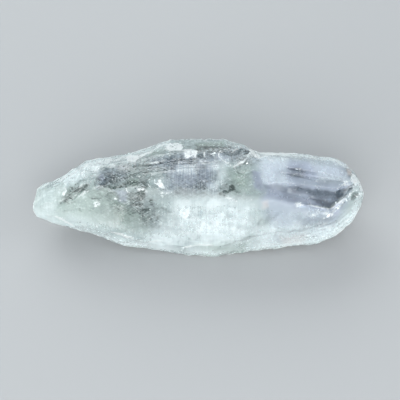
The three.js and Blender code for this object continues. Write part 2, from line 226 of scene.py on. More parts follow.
ROUND_THE_CLUSTER = [
    line([(141, 210.5), (150, 210)], 1.2, 0.5, 0.65),
    patch([(149, 200), (153.5, 200), (154, 206), (150, 205.5)], 0.8, 0.50),
    patch([(131, 205), (148, 206), (146, 213), (133, 213)], 4.0, 0.20),
    patch([(132, 212), (147, 212), (146, 218), (134, 217)], 4.0, 0.22),
    patch([(104, 166), (150, 160), (152, 172), (128, 182), (104, 174)], 4.0, 0.30),
    patch([(103, 181), (108, 179), (110, 184), (105, 187)], 1.2, 0.45),
    patch([(112, 177), (117, 178), (117, 182), (112, 181.5)], 0.8, 0.60),
    line([(104, 187.5), (112, 186), (121, 187), (127, 188)], 0.7, 0.5, 0.70),
    line([(106, 176), (112, 178)], 0.6, 0.5, 0.60),
    patch([(60, 198), (72, 198), (76, 212), (60, 212)], 5.0, 0.10),
    patch([(90, 208), (100, 208), (100, 216), (90, 216)], 5.0, 0.12),
    patch([(140, 214), (150, 212), (160, 219), (158, 228), (143, 226)], 5.0, 0.24),
    line([(145, 214), (147, 226)], 0.8, 0.8, 0.20),
    line([(151, 214), (152, 227)], 0.8, 0.8, 0.20),
    patch([(105, 196), (121, 191), (121, 200), (110, 200)], 2.0, 0.22),
    patch([(110, 200), (130, 206), (134, 216), (114, 214)], 4.0, 0.16),
    line([(108, 195), (121, 191)], 0.8, 0.5, 0.35),
    patch([(152, 208), (162, 208), (160, 220), (153, 218)], 3.0, 0.18),
    line([(163, 208), (171, 213)], 1.2, 0.8, 0.25),
    patch([(88, 172), (130, 164), (160, 176), (164, 212), (150, 228), (104, 222)], 12.0, 0.22),
    patch([(150, 186), (222, 188), (224, 197), (160, 196)], 4.0, 0.18),
    patch([(156, 192), (262, 194), (262, 200), (160, 200)], 3.0, 0.14),
    patch([(100, 206), (162, 206), (170, 236), (120, 236)], 10.0, 0.10),
]
UPPER_WINDOWS = [
    line([(197, 148.8), (210, 147.6), (222, 148.6)], 1.1, 0.5, 0.75),
    line([(222, 148.5), (232, 149)], 0.9, 0.6, 0.40),
    patch([(184, 145), (198, 145), (198, 150), (185, 150)], 1.2, 0.25),
    patch([(196, 144), (232, 144), (236, 150), (196, 150)], 3.0, 0.25),
    patch([(166, 158), (206, 156), (206, 166), (168, 168)], 5.0, 0.30),
    patch([(206, 146), (230, 146), (232, 155), (206, 155)], 3.0, 0.30),
    patch([(197, 150), (205, 150), (204, 156), (206, 160), (197, 161), (196.5, 154)], 1.0, 0.60),
    patch([(206, 150), (222, 150), (221, 154), (207, 153)], 1.0, 0.58),
    patch([(205, 153), (217, 155), (217, 161), (205, 160)], 1.5, 0.40),
    patch([(220, 151), (233, 150.5), (234, 156.5), (222, 157)], 1.2, 0.50),
    patch([(233, 151), (241, 151), (240, 157), (234, 157)], 1.5, 0.33),
    patch([(241, 150), (249, 151), (248, 159), (241, 160)], 1.5, 0.28),
    patch([(247, 151), (254.5, 152), (254, 158), (248, 157.5)], 1.5, 0.40),
    patch([(235, 158), (248, 159), (250, 165), (236, 165)], 1.5, 0.42),
    patch([(170, 152), (182, 152), (184, 160), (178, 163), (168, 161)], 2.0, 0.42),
    patch([(150, 152), (168, 150), (168, 160), (150, 161)], 3.0, 0.25),
    patch([(150, 159), (172, 158.5), (182, 161), (182, 165), (152, 165)], 1.5, 0.45),
    patch([(180, 159), (198, 160), (198, 166), (182, 167)], 1.5, 0.50),
    patch([(152, 164), (178, 164), (176, 172), (150, 172)], 2.0, 0.42),
    patch([(206, 160), (226, 162), (222, 166), (206, 166)], 2.0, 0.25),
]
MIDDLE_WINDOWS = [
    patch([(195, 168), (206, 166), (207, 182), (205, 191), (196, 190)], 2.5, 0.42),
    patch([(206, 171), (217, 171), (217, 181), (212, 184), (206, 184)], 2.5, 0.38),
    patch([(166, 175), (184, 174), (184, 190), (170, 189)], 6.0, 0.32),
    patch([(180, 176), (198, 175), (198, 190), (182, 190)], 4.0, 0.30),
    patch([(196, 182), (208, 182), (206, 191), (196, 190)], 2.0, 0.24),
    patch([(150, 172), (176, 172), (172, 180), (152, 180)], 3.0, 0.20),
    patch([(227.5, 186.5), (231, 184.8), (233.5, 187.5), (231.5, 191), (228, 190.5)], 1.3, 0.90),
    line([(225, 184), (229, 181.5), (232, 182)], 0.7, 0.8, 0.45),
    line([(233, 190), (236, 193)], 0.8, 0.8, 0.45),
    line([(219.5, 194.5), (224, 192.3), (229, 191)], 1.1, 0.5, 0.70),
    line([(223, 196), (228, 192.5)], 1.0, 0.6, 0.50),
    patch([(218, 184), (228, 182), (228, 190), (219, 191)], 2.0, 0.22),
    patch([(222, 168), (250, 167), (252, 192), (234, 195), (222, 190)], 8.0, 0.24),
    patch([(174, 189), (206, 189), (206, 196), (174, 196)], 3.0, 0.20),
    patch([(250, 172), (259, 173), (260, 181), (252, 181)], 3.0, 0.28),
    patch([(252, 182), (260, 182), (260, 188.5), (253, 188)], 3.0, 0.32),
]
ROOT_WINDOWS = [
    patch([(280, 173), (286, 168.5), (297, 167), (304, 171), (303, 179), (296, 180), (284, 179)],
          5.0, 0.28),
    patch([(286, 169.5), (291, 167.5), (298, 168.5), (301, 173), (298, 177.5), (290, 177)], 2.5, 0.34),
    patch([(292, 179), (310, 178), (330, 181), (344, 188), (300, 188)], 5.0, 0.20),
    patch([(338, 166), (352, 168), (354, 182), (340, 178)], 4.0, 0.20),
    line([(296, 188.5), (310, 191), (336, 193)], 2.5, 2.5, 0.35),
    patch([(314, 183), (325, 182), (326, 188), (315, 188)], 3.0, 0.16),
    patch([(274, 172), (284, 168), (282, 178), (275, 180)], 4.0, 0.16),
    patch([(344, 168), (351, 170), (352, 177), (347, 179)], 1.5, 0.42),
    patch([(349, 199.5), (353, 193), (359, 191.5), (357, 197), (352, 201)], 1.0, 0.50),
    patch([(292, 216), (330, 217), (334, 226), (300, 227)], 4.0, 0.18),
    line([(300, 205), (318, 209.5)], 1.0, 0.8, 0.20),
    line([(265, 205), (268, 215), (262, 224)], 1.5, 0.8, 0.22),
    line([(269, 219), (276, 213)], 1.2, 0.8, 0.25),
    line([(256, 224), (260, 219)], 1.0, 0.8, 0.30),
    line([(220, 247), (235, 242), (250, 237), (262, 234), (275, 231.5)], 0.8, 0.7, 0.25),
    line([(275, 231.5), (300, 230), (318, 226), (337, 221)], 0.8, 0.7, 0.26),
]
DARK_WEDGE = [
    patch([(257, 185), (275, 183.5), (296, 187), (298, 197), (268, 194), (258, 191)], 4.0, 0.18),
    patch([(260, 185), (276, 184.2), (292, 186), (310, 189.6), (334, 191.5), (334, 196), (308, 196),
           (292, 193), (264, 189.5)], 1.0, 0.30),
    patch([(280, 186), (295, 186.5), (308, 190.5), (332, 192.5), (336, 200), (314, 203), (282, 198)],
          3.0, 0.24),
    patch([(306, 190.5), (332, 192), (336, 191), (337, 201), (320, 202), (307, 200)], 2.0, 0.30),
    patch([(333, 191), (351, 187.5), (351, 190), (345, 192), (341, 197), (335, 201)], 1.2, 0.74),
    patch([(311, 194.5), (332, 195), (334, 199), (313, 199.5)], 1.0, 0.28),
    line([(346, 187.5), (354, 184)], 0.7, 0.5, 0.70),
    patch([(309, 200), (322, 201), (330, 202), (335, 201), (330, 208), (326, 209.8), (318, 206)],
          1.4, 0.62),
]
SMOKE = (DARK_ARC + ROUND_THE_ARC + FRACTURE_CLUSTER + ROUND_THE_CLUSTER + UPPER_WINDOWS + MIDDLE_WINDOWS
         + ROOT_WINDOWS + DARK_WEDGE)

# Cloudy white quartz
MILK = [
    patch([(180, 200), (204, 194), (236, 198), (248, 206), (244, 220), (226, 234), (200, 236), (182, 226)],
          14.0, 0.62),
    patch([(160, 216), (230, 214), (232, 244), (150, 244)], 10.0, 0.30),
    patch([(242, 202), (262, 203), (262, 222), (242, 222)], 6.0, 0.25),
    patch([(268, 212), (302, 214), (302, 230), (268, 230)], 6.0, 0.22),
    line([(186, 254), (232, 255), (262, 248), (300, 245), (330, 238), (345, 230), (356, 214)],
         4.5, 3.0, 0.65),
    line([(36, 214), (60, 227), (100, 239), (150, 250), (190, 257)], 6.0, 4.0, 0.55),
    line([(58, 180), (75, 172), (88, 165), (110, 160), (128, 156), (166, 144)], 4.0, 4.0, 0.36),
    line([(262, 153), (300, 156.5), (330, 159), (346, 166)], 2.0, 2.0, 0.50),
    patch([(206, 200), (236, 202), (240, 220), (214, 228)], 12.0, 0.35),
    patch([(178, 204), (192, 202), (193, 222), (180, 224)], 5.0, 0.30),
    patch([(100, 236), (170, 246), (172, 253), (100, 244)], 4.0, 0.50),
    patch([(232, 226), (272, 226), (272, 246), (232, 246)], 6.0, 0.45),
    patch([(60, 208), (110, 212), (120, 232), (80, 228), (50, 216)], 8.0, 0.15),
    patch([(118, 222), (150, 226), (190, 240), (150, 248), (124, 240)], 8.0, 0.20),
    patch([(150, 240), (240, 238), (236, 246), (160, 250)], 5.0, 0.30),
    patch([(255, 228), (330, 222), (340, 230), (300, 243), (262, 245)], 6.0, 0.40),
    patch([(362, 195), (356, 214), (340, 230), (322, 238), (318, 232), (338, 220), (350, 206), (355, 194)],
          3.0, 0.35),
    patch([(285, 208), (330, 210), (325, 218), (290, 218)], 5.0, 0.15),
    patch([(259, 158), (285, 156), (284, 184), (260, 184)], 4.0, 0.35),
    patch([(305, 160), (340, 162), (345, 180), (318, 182)], 4.0, 0.30),
    patch([(346, 167), (361, 180), (366, 196), (361, 212), (352, 220), (355, 196)], 3.0, 0.35),
    patch([(62, 172), (100, 160), (104, 170), (84, 180), (64, 188)], 4.0, 0.45),
    patch([(36, 196), (60, 180), (64, 190), (56, 214), (38, 216)], 5.0, 0.28),
    patch([(176, 168), (196, 167), (196, 175), (178, 176)], 1.5, 0.42),
    patch([(208, 163), (222, 161), (228, 168), (214, 170)], 2.0, 0.30),
    patch([(208, 190), (213, 183), (217, 182), (219, 187), (214, 190)], 1.0, 0.35),
    patch([(217, 172), (226, 170), (222, 186), (217, 186)], 2.0, 0.30),
]

# White broken faces, bright lines along edges and healed cracks, and painted highlights and glints along the
# outline and the dark wedge
UPPER_FROST_AND_HIGHLIGHTS = [
    patch([(165, 149.5), (169, 144), (183, 143.5), (184.5, 147), (181, 151.5), (172, 152), (166, 151)],
          1.6, 0.92),
    patch([(182, 152), (186, 150), (197, 150.3), (196.5, 157.5), (190, 159.2), (185, 158.8), (184, 154)],
          0.6, 0.85),
    patch([(127, 161.5), (128, 157), (147, 152), (151, 152.5), (143, 158.5), (135, 161.5)], 0.8, 1.00),
    patch([(254.5, 152), (258.5, 155), (259, 161), (256, 160), (253, 156)], 0.9, 0.75),
    # White lines along the upper edge: partly frosted edge, partly painted light on the band that faces away
    # from the lamps
    line([(60, 181), (75, 173), (88, 166)], 1.6, 0.6, 0.60),
    line([(88, 166), (110, 161.5), (128, 158)], 1.8, 0.6, 0.60),
    line([(146, 153.5), (158, 148.5), (166, 145)], 1.5, 0.6, 0.75),
    line([(229, 144.5), (244, 148)], 1.0, 0.6, 0.50),
    line([(250, 150.5), (262, 153)], 1.2, 0.6, 0.60),
    line([(204, 151.5), (204, 158)], 0.8, 0.5, 0.80),
    line([(219, 152), (217.5, 158)], 0.9, 0.5, 1.00),
    line([(195.5, 152), (195.2, 159)], 0.8, 0.5, 0.90),
    line([(210, 154), (218, 158.5), (230, 167)], 0.9, 0.6, 0.60),
    line([(134, 179), (174, 172), (204, 164), (222, 162)], 0.9, 0.8, 0.40),
]
TIP_FROST = [
    patch([(69, 203), (76, 195.5), (84, 192), (93, 190.5), (88, 193.5), (80, 198.5), (74, 203)], 1.6, 0.36),
    patch([(94, 203), (97, 200.5), (102, 199), (104.5, 201), (99, 205), (96, 207.5)], 1.5, 0.60),
    patch([(65, 186), (68, 187), (68, 195), (64.5, 196)], 0.8, 0.80),
    patch([(66, 183), (69, 183), (68.5, 185), (66, 185.5)], 0.6, 0.80),
    patch([(82, 173), (87, 173), (86, 177), (81.5, 177)], 1.0, 0.60),
    line([(98, 226), (99, 226.5)], 1.2, 0.5, 0.80),
    line([(101, 221), (101, 222)], 1.2, 0.5, 0.70),
    line([(97, 187.5), (97.5, 188)], 0.9, 0.5, 0.70),
    line([(114.5, 179.6), (115.2, 180)], 0.5, 0.4, 0.80),
    line([(111.2, 183.2), (112, 183.8)], 0.5, 0.4, 0.70),
    line([(117.5, 181), (118.3, 181.3)], 0.5, 0.4, 0.70),
    line([(142.3, 198), (143, 199)], 0.6, 0.4, 0.90),
]
MIDDLE_FROST = [
    patch([(160, 180.2), (162, 180.2), (164, 183), (168, 188), (167, 189.4), (162.5, 187.8), (157.5, 185)],
          0.5, 1.00),
    line([(156.2, 180), (157.2, 184.6)], 0.5, 0.4, 0.80),
    patch([(158.8, 193.8), (163, 192.5), (171, 193.3), (167, 195.4), (164.6, 198.8), (161.7, 196.3)],
          1.0, 0.58),
    line([(166, 193.4), (171.8, 193.4)], 0.5, 0.4, 1.00),
    patch([(180.5, 208), (190, 207), (190, 216), (187, 221), (182, 217)], 2.5, 0.70),
    patch([(222, 198), (230, 197.5), (238, 200), (230, 203)], 2.0, 0.70),
    patch([(147, 192), (150, 192), (148, 197), (146, 196)], 0.7, 0.70),
    line([(127, 190), (130, 193)], 0.8, 0.5, 0.80),
    line([(139, 191), (146, 190)], 0.9, 0.5, 0.80),
    line([(151, 186), (152, 188)], 0.8, 0.5, 0.80),
    line([(116, 199), (117, 199.5)], 0.9, 0.5, 0.80),
    line([(120.5, 200.5), (121, 201)], 0.8, 0.5, 0.90),
]
ROOT_FROST_AND_GLINTS = [
    patch([(291, 203.5), (294, 201.3), (298.5, 202), (301, 205.3), (298, 207.3), (294, 206)], 1.5, 0.80),
    patch([(304, 212), (317, 210.5), (318, 217), (307, 218)], 3.0, 0.42),
    patch([(319, 212), (324, 210), (332, 209), (333, 213), (328, 218), (322, 216)], 2.5, 0.50),
    patch([(336, 200), (339.5, 199.8), (342.5, 204), (340, 206), (337, 203)], 0.8, 0.80),
    patch([(351, 173), (355, 174), (359, 182), (357, 186), (352, 183), (349, 181)], 1.2, 0.85),
    patch([(337, 180), (352, 180), (345, 187), (336, 188)], 1.5, 0.45),
    line([(355, 175), (360, 186), (361, 191)], 1.2, 0.6, 0.70),
    line([(331, 210), (342, 201), (353, 192)], 1.2, 0.6, 0.50),
    line([(356, 196.5), (356.4, 197)], 0.9, 0.4, 1.00),
    # Painted glints: the short white specks along the lower border of the dark wedge
    line([(305, 206), (306, 206.6)], 0.6, 0.4, 0.90),
    line([(312, 209), (313.5, 209.4)], 0.6, 0.4, 0.80),
    line([(318.5, 213), (319, 214)], 0.7, 0.4, 0.90),
    line([(325, 213.5), (327, 214)], 0.7, 0.4, 0.90),
    line([(332.5, 208), (333.5, 207)], 0.8, 0.4, 0.90),
    line([(347, 197), (348.5, 196)], 0.6, 0.4, 0.90),
    line([(322, 218), (323, 218.4)], 0.7, 0.4, 0.80),
    line([(309, 214), (310.5, 214.6)], 0.7, 0.4, 0.80),
    line([(359, 194), (362, 194.5)], 1.0, 0.5, 0.80),
    line([(296.5, 170), (296.7, 171.5)], 0.5, 0.4, 0.80),
    line([(298.5, 174), (298.8, 174.4)], 0.5, 0.4, 0.70),
]
# White lines along the outline: partly frosted edges, partly a painted highlight for the bright line of
# light at the rim
RIM_FROST_AND_HIGHLIGHT = [
    line([(40, 220), (80, 233), (126, 246), (190, 255)], 1.5, 1.5, 0.60),
    line([(262, 247.5), (300, 244.5), (330, 237.5), (345, 229.5), (356, 214)], 1.0, 1.0, 0.35),
    line([(270, 154), (300, 157), (335, 160), (350, 170)], 1.5, 1.0, 0.45),
]
FROST_AND_HIGHLIGHTS = UPPER_FROST_AND_HIGHLIGHTS + TIP_FROST + MIDDLE_FROST + ROOT_FROST_AND_GLINTS + RIM_FROST_AND_HIGHLIGHT

# Tints
GREEN = [
    patch([(228, 172), (246, 170), (246, 192), (234, 192)], 9.0, 0.70),
    patch([(60, 188), (110, 186), (140, 214), (110, 226), (62, 214)], 8.0, 0.50),
    patch([(34, 190), (64, 180), (66, 222), (34, 216)], 6.0, 0.30),
    patch([(195, 243), (250, 240), (240, 257), (205, 257)], 4.0, 0.45),
    patch([(129, 180), (142, 180), (141, 188), (129, 188)], 2.0, 0.60),
    patch([(118, 212), (150, 214), (150, 234), (120, 232)], 6.0, 0.35),
    patch([(196, 143), (225, 142), (224, 147), (197, 148)], 1.5, 0.50),
    patch([(148, 150), (166, 150), (164, 160), (148, 160)], 3.0, 0.40),
    patch([(240, 150), (249, 151), (248, 158), (240, 158)], 2.0, 0.40),
]
LAVENDER = [
    patch([(258, 158), (345, 162), (350, 180), (300, 186), (260, 184)], 10.0, 0.85),
    patch([(262, 182), (300, 184), (352, 184), (334, 212), (262, 200)], 7.0, 0.80),
    patch([(168, 166), (214, 164), (214, 190), (170, 190)], 10.0, 0.62),
    patch([(150, 158), (252, 146), (254, 160), (200, 166), (152, 170)], 5.0, 0.45),
    patch([(260, 200), (345, 202), (335, 228), (270, 228)], 8.0, 0.55),
    patch([(100, 172), (128, 164), (128, 178), (112, 184), (101, 188)], 4.0, 0.40),
    patch([(101.5, 176), (107, 177), (107.5, 185), (102, 186)], 1.0, 0.60),
    patch([(119, 190), (129, 192), (127, 203), (120, 202)], 1.5, 0.50),
    patch([(250, 172), (260, 172), (260, 189), (252, 189)], 2.0, 0.70),
    patch([(256, 232), (330, 226), (330, 240), (270, 246)], 6.0, 0.30),
]
PINK = [
    patch([(260, 202), (267, 201), (267, 206), (261, 208)], 2.0, 0.36),
    patch([(280, 236), (306, 233), (304, 243), (282, 245)], 4.0, 0.25),
    patch([(345, 169), (351, 171), (351, 176), (346, 176)], 1.5, 0.50),
]

# Faces that are worn dull, calm, striated or fractured
DULL = [
    patch([(36, 190), (110, 186), (120, 220), (60, 222), (38, 214)], 12.0, 1.00),
    patch([(118, 164), (150, 160), (150, 172), (118, 176)], 5.0, 0.60),
    patch([(150, 236), (230, 236), (240, 252), (150, 252)], 6.0, 0.50),
    patch([(318, 214), (352, 200), (350, 216), (322, 228)], 6.0, 0.60),
    patch([(172, 188), (204, 188), (204, 195), (172, 195)], 3.0, 1.00),
    patch([(320, 204), (346, 198), (346, 208), (326, 216)], 4.0, 0.80),
    line([(120, 194), (190, 198), (250, 200), (300, 206)], 6.0, 4.0, 1.00),
]
CALM = [  # smooth, satin quartz with little texture
    patch([(254, 156), (340, 156), (366, 180), (366, 200), (356, 226), (336, 242), (300, 248), (256, 250),
           (250, 200)], 6.0, 0.85),
    patch([(60, 206), (120, 216), (150, 230), (120, 244), (60, 226)], 6.0, 0.35),
    line([(36, 214), (60, 227), (100, 239), (150, 250), (190, 257), (240, 256)], 8.0, 4.0, 0.70),
]
STRIATED = [
    patch([(164, 164), (224, 160), (224, 194), (164, 194)], 12.0, 0.85),
    patch([(168, 148), (232, 148), (232, 164), (168, 164)], 8.0, 0.50),
    patch([(108, 162), (152, 156), (152, 170), (108, 174)], 5.0, 0.70),
    patch([(138, 206), (260, 204), (260, 232), (138, 232)], 12.0, 0.50),
]
FRACTURED = FRACTURE_CLUSTER + DARK_ARC + [
    patch([(224, 148), (262, 150), (260, 164), (228, 166)], 4.0, 0.80),
]
BROKEN_GROUND = FRACTURED + [  # raised and sunk in cells
    line([(292, 205), (327, 212), (355, 194)], 4.0, 0.7, 1.00),
]

# Edges that are rounded, and the root end's lower face with its growth lines
SOFT_CREST = [
    line([(120, 194), (190, 198), (250, 200), (300, 206)], 7.0, 4.0, 1.00),
    line([(252, 164), (254, 178), (260, 188)], 6.0, 4.0, 1.00),
]
SOFT_CLUSTER = [patch([(98, 170), (124, 168), (152, 182), (160, 214), (134, 230), (108, 228)], 5.0, 1.00)]
LOWER_ROOT = [line([(339, 219.5), (359, 203.5)], 10.0, 0.6, 1.00)]


LATTICE = 32  # the lumps of noise repeat after this many
WANDER = ((3.0, 0.35, 1), (0.9, 0.22, 5))  # how borders run unevenly: size of lumps, reach and seed


def smooth(t):
    t = np.clip(t, 0, 1)
    return t * t * (3 - 2 * t)


def value_noise(at, size, seed):
    """Smooth noise from 0 to 1, with lumps of about the given size."""
    lattice = np.random.default_rng(seed).random((LATTICE, LATTICE, LATTICE))
    cell = np.floor(at / size).astype(int)
    share = smooth(at / size - cell)
    total = np.zeros(len(at))
    for corner in itertools.product((0, 1), repeat=3):
        weight = np.where(np.array(corner) == 1, share, 1 - share).prod(1)
        total += weight * lattice[tuple(((cell + corner) % LATTICE).T)]
    return total


def on_grid(local):
    """Points seen from the broad side, on the drawing grid, moved a little so that borders run unevenly."""
    moved = local.copy()
    for size, reach, seed in WANDER:
        for i in range(2):
            moved[:, i] += (value_noise(local, size, seed + i) - 0.5) * 2 * reach
    return np.stack([moved[:, 0], -moved[:, 1]], 1) / GRID + np.array(GRID_MIDDLE)


def distance_to(at, corners):
    """How far each point is from the line through the corners, and whether it lies inside it."""
    nearest = np.full(len(at), np.inf)
    inside = np.zeros(len(at), bool)
    for start, end in zip(np.array(corners, float), np.array(corners[1:], float)):
        way = end - start
        share = np.clip((at - start) @ way / (way @ way), 0, 1)
        nearest = np.minimum(nearest, np.linalg.norm(at - start - share[:, None] * way, axis=1))
        if start[1] != end[1]:
            crossed = (start[1] > at[:, 1]) != (end[1] > at[:, 1])
            inside ^= crossed & (at[:, 0] < start[0] + way[0] * (at[:, 1] - start[1]) / way[1])
    return nearest, inside


def covered(at, mark):
    """How strongly one patch or line covers each point."""
    corners, wide, soft, much = mark
    nearest, inside = distance_to(at, corners)
    reach = np.where(inside, nearest, -nearest) if wide is None else wide - nearest
    return much * smooth((reach / soft + 1) / 2)


def zone(local, marks):
    """How strongly each point lies in any of the marks, from 0 to 1."""
    at = on_grid(local)
    left = np.ones(len(local))
    for mark in marks:
        corners, wide, soft, _ = mark
        margin = (wide or 0) + soft
        low, high = np.min(corners, 0) - margin, np.max(corners, 0) + margin
        near = np.flatnonzero(((at > low) & (at < high)).all(1))
        left[near] *= 1 - covered(at[near], mark)
    return 1 - left


def neighbour_means(mesh, values, rounds):
    """Values of the vertices, each replaced by the mean of those next to it, round after round."""
    ends = np.empty(len(mesh.edges) * 2, int)
    mesh.edges.foreach_get("vertices", ends)
    a, b = ends.reshape(-1, 2).T
    here, there = np.r_[a, b], np.r_[b, a]
    degree = np.bincount(here, minlength=len(values))
    for _ in range(rounds):
        columns = [np.bincount(here, column[there], len(values)) / degree for column in values.T]
        values = np.stack(columns, 1)
    return values


# ---- Nodes ----


def node(tree, kind, inputs=None, **settings):
    """A node with its settings, and its inputs given as sockets to link or as plain values."""
    made = tree.nodes.new("ShaderNode" + kind)
    for name, value in settings.items():
        setattr(made, name, value)
    for name, value in (inputs or {}).items():
        if isinstance(value, bpy.types.NodeSocket):
            tree.links.new(value, made.inputs[name])
        else:
            made.inputs[name].default_value = value
    return made


def math_node(tree, operation, a, b, clamp=False):
    return node(tree, "Math", {0: a, 1: b}, operation=operation, use_clamp=clamp).outputs[0]


def plus(tree, a, b, clamp=False):
    return math_node(tree, "ADD", a, b, clamp)


def times(tree, a, b, clamp=False):
    return math_node(tree, "MULTIPLY", a, b, clamp)


def mix_colours(tree, factor, a, b):
    """Colour a where the factor is 0 and colour b where it is 1."""
    made = node(tree, "Mix", data_type="RGBA")
    made.clamp_factor = True
    for name, value in (("Factor_Float", factor), ("A_Color", a), ("B_Color", b)):
        socket = next(s for s in made.inputs if s.identifier == name)
        if isinstance(value, bpy.types.NodeSocket):
            tree.links.new(value, socket)
        else:
            socket.default_value = value
    return next(s for s in made.outputs if s.identifier == "Result_Color")


def step(tree, value, low, high, to_low=0.0, to_high=1.0):
    """A smooth step of value from low to high."""
    ends = {"Value": value, "From Min": low, "From Max": high, "To Min": to_low, "To Max": to_high}
    return node(tree, "MapRange", ends, interpolation_type="SMOOTHSTEP").outputs["Result"]


def attribute(tree, name):
    return node(tree, "Attribute", attribute_name=name).outputs["Fac"]


def in_millimetres(tree, stretch=(1.0, 1.0, 1.0), turn=0.0):
    """Object coordinates as x, v and w, in millimetres, stretched and turned on the broad side."""
    at = node(tree, "TexCoord").outputs["Object"]
    level = {"Vector": at, "Location": AXIS, "Rotation": (ROLL, 0, 0), "Scale": (MM, MM, MM)}
    local = node(tree, "Mapping", level, vector_type="TEXTURE").outputs[0]
    if stretch == (1.0, 1.0, 1.0) and turn == 0.0:
        return local
    turned = node(tree, "Mapping", {"Vector": local, "Rotation": (0, 0, math.radians(turn))}).outputs[0]
    return node(tree, "Mapping", {"Vector": turned, "Scale": stretch}).outputs[0]


def clouding_group():
    """Clouds, squeezed along each axis by Stretch and made finer by Detail. Mask swings from 0 to 1."""
    group = bpy.data.node_groups.new("clouding", "ShaderNodeTree")
    sockets = (("Stretch", "NodeSocketVector", (1, 1, 1)), ("Detail", "NodeSocketFloat", 4.0))
    for name, kind, value in sockets:
        socket = group.interface.new_socket(name=name, in_out="INPUT", socket_type=kind)
        socket.default_value = value
    group.interface.new_socket(name="Mask", in_out="OUTPUT", socket_type="NodeSocketFloat")
    given = group.nodes.new("NodeGroupInput")
    squeezed = node(group, "Mapping", {"Vector": in_millimetres(group), "Scale": given.outputs["Stretch"]})
    cloud = node(group, "TexNoise", {"Vector": squeezed.outputs[0], "Scale": 1.0, "Roughness": 0.6,
                                     "Detail": given.outputs["Detail"]})
    out = group.nodes.new("NodeGroupOutput")
    group.links.new(step(group, cloud.outputs["Fac"], 0.28, 0.72), out.inputs["Mask"])
    return group


def clouds(tree, stretch, detail=4.0):
    """The shared clouding effect in a material, with its own stretch and detail."""
    group = bpy.data.node_groups.get("clouding") or clouding_group()
    made = tree.nodes.new("ShaderNodeGroup")
    made.node_tree = group
    made.inputs["Stretch"].default_value = stretch
    made.inputs["Detail"].default_value = detail
    return made.outputs["Mask"]


# ---- The crystal's body ----

WEIGHT_STEPS = 50  # the steps from 0 to 1 in which a vertex group is painted
FULLY_WORN = 0.09  # how far the most worn edges stand proud, in millimetres
SOLE_GAP = 0.2  # how far above the floor the surface starts to be roughened, in millimetres
SOLE_FADE = 0.8  # how much higher it is roughened in full
ZONES = {"smoke": SMOKE, "milk": MILK, "frost_and_highlights": FROST_AND_HIGHLIGHTS, "green": GREEN, "lavender": LAVENDER,
         "pink": PINK, "dull": DULL, "fractured": FRACTURED, "striated": STRIATED, "calm": CALM}
BACK_VEILS = {  # on the turned-away sides: seed, the noise at which the veil starts and is full, strength
    "smoke": (61, 0.48, 0.72, 0.50),
    "milk": (71, 0.40, 0.75, 0.55),
    "frost_and_highlights": (81, 0.60, 0.85, 0.45),
    "green": (91, 0.35, 0.60, 0.60),
}


def paint_group(obj, name, weights):
    """A vertex group with the given weights."""
    group = obj.vertex_groups.new(name=name)
    steps = np.round(weights * WEIGHT_STEPS).astype(int)
    for level in range(1, WEIGHT_STEPS + 1):
        chosen = np.flatnonzero(steps == level)
        if len(chosen):
            group.add(chosen.tolist(), level / WEIGHT_STEPS, "REPLACE")


def paint(obj, name, values):
    """A vertex attribute with the given values, which a material reads."""
    layer = obj.data.attributes.new(name, "FLOAT", "POINT")
    layer.data.foreach_set("value", np.clip(values, 0, 1).astype(np.float32))


def displace(body, name, strength, area, size=None, stretch=None, turn=0.0, cells=False):
    """Raise and lower the surface by clouds or cells, in an area of it."""
    texture = bpy.data.textures.new(name, "VORONOI" if cells else "CLOUDS")
    texture.noise_scale = 1.0 if size is None else size * MM
    if cells:
        texture.weight_1, texture.weight_2 = -1.0, 1.0
    else:
        texture.noise_depth = 2
    modifier = body.modifiers.new(name, "DISPLACE")
    modifier.texture = texture
    modifier.strength = strength * MM
    modifier.mid_level = 0.5
    modifier.vertex_group = area
    modifier.texture_coords = "LOCAL"
    guide = None
    if stretch is not None:
        guide = new_object(name + "_guide", None)
        guide.location = AXIS
        guide.rotation_euler = (ROLL, 0, math.radians(turn))
        guide.scale = [s * MM for s in stretch]
        bpy.context.view_layer.update()
        modifier.texture_coords = "OBJECT"
        modifier.texture_coords_object = guide
    make_active(body)
    bpy.ops.object.modifier_apply(modifier=name)
    if guide is not None:
        bpy.data.objects.remove(guide)


def even_copy(source):
    """A copy of the CAD node's solid with an even mesh that keeps its sharp edges."""
    body = source.copy()
    body.data = source.data.copy()
    body.parent = None
    body.name = "crystal_body"
    bpy.context.scene.collection.objects.link(body)
    make_active(body)
    bpy.ops.object.mode_set(mode="EDIT")
    bpy.ops.mesh.select_all(action="SELECT")
    bpy.ops.mesh.remove_doubles(threshold=1e-7)
    bpy.ops.object.mode_set(mode="OBJECT")
    remesh = body.modifiers.new("even_mesh", "REMESH")
    remesh.mode = "SHARP"
    remesh.octree_depth = 9
    remesh.scale = 0.585  # with this depth, the mesh has squares of 0.275 mm
    remesh.sharpness = 0.8
    remesh.use_smooth_shade = True
    bpy.ops.object.modifier_apply(modifier=remesh.name)
    return body


def soften(body, marks, rounds):
    """Round the edges of the marked places on the broad side."""
    local = crystal_coordinates(vertices_of(body.data))
    paint_group(body, "soft", zone(local, marks) * (local[:, 2] > 0))
    modifier = body.modifiers.new("soften", "SMOOTH")
    modifier.factor = 0.5
    modifier.iterations = rounds
    modifier.vertex_group = "soft"
    make_active(body)
    bpy.ops.object.modifier_apply(modifier=modifier.name)
    body.vertex_groups.clear()


def edge_wear(mesh):
    """How far each vertex stands proud of those round it, in millimetres."""
    points = vertices_of(mesh)
    proud = ((points - neighbour_means(mesh, points, 5)) * vertices_of(mesh, "normal")).sum(1) / MM
    return neighbour_means(mesh, proud[:, None], 3)[:, 0]


def outline_rim(mesh, facing):
    """The narrow border of the outline, where the surface turns away from the broad side: painted white,
    partly as a frosted edge and partly as a painted highlight along the outline.
    """
    turning = smooth((facing + 0.10) / 0.10) * smooth((0.29 - facing) / 0.10)
    return neighbour_means(mesh, turning[:, None], 5)[:, 0] * 1.8


